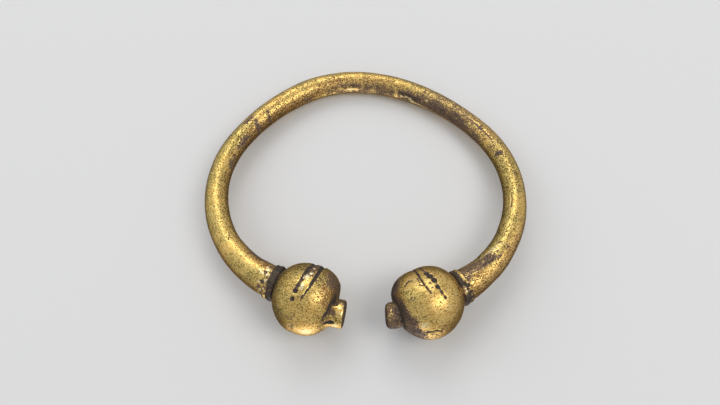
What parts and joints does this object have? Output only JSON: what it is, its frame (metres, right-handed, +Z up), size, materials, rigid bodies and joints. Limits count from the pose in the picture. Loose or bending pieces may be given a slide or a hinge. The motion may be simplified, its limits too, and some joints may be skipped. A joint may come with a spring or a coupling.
{
  "type": "bracelet",
  "caption": "Open cast hoop bracelet of round rod that swells into banded collars, incised balls and small button ends; it springs round a wrist and lies flat when loose.",
  "frame": {"origin": "centre of the box around the bracelet, on the surface it lies on", "axes": "+X across the hoop to the right arm, +Y from the gap between the ends to the back of the hoop, +Z up"},
  "size_m": [0.0678, 0.0642, 0.0136],
  "materials": {
    "old_bronze": "worn and rubbed golden copper alloy with dark brown patina in the hollows"
  },
  "bodies": {
    "root": {"bracelet": "old_bronze"}
  },
  "joints": []
}
